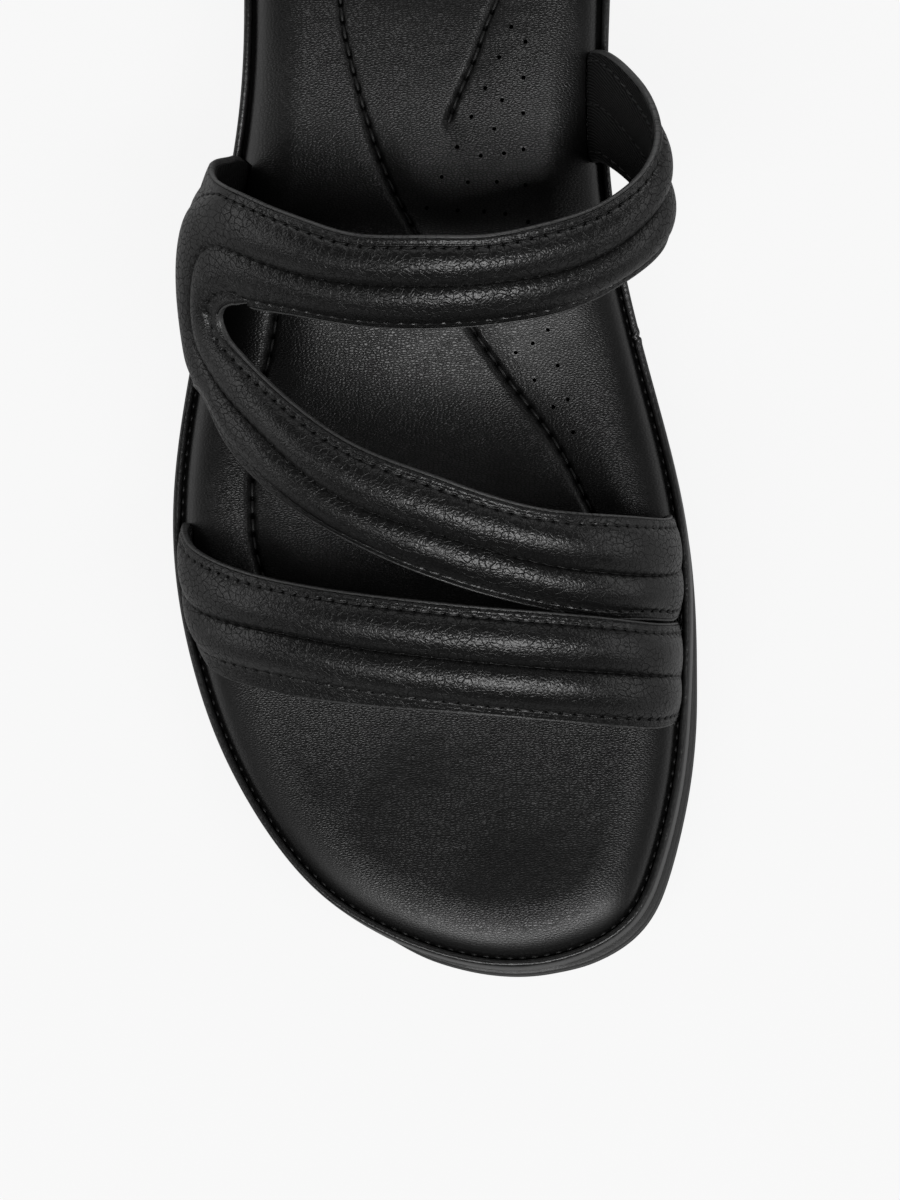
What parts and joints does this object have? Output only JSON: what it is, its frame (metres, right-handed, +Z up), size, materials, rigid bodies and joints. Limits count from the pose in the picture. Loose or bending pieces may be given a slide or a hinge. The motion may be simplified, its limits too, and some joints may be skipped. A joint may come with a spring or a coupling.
{
  "type": "slip-on sandal",
  "caption": "Right slip-on sandal with padded leather straps over the toes and instep, a cushioned stitched footbed and a wrapped platform sole.",
  "frame": {"origin": "centre of the sole's outline on the floor", "axes": "+Z up, -Y towards the toe, +X towards the big-toe side of the right foot"},
  "size_m": [0.1006, 0.252, 0.0823],
  "materials": {
    "outsole_rubber": "matt black moulded rubber",
    "wrap_leather": "smooth black leather, satin",
    "footbed_leather": "fine grained black leather, satin",
    "strap_leather": "soft pebbled black leather, satin"
  },
  "bodies": {
    "root": {"outsole": "outsole_rubber", "midsole_wrap": "wrap_leather", "footbed": "footbed_leather", "instep_strap": "strap_leather", "toe_strap": "strap_leather"}
  },
  "joints": []
}
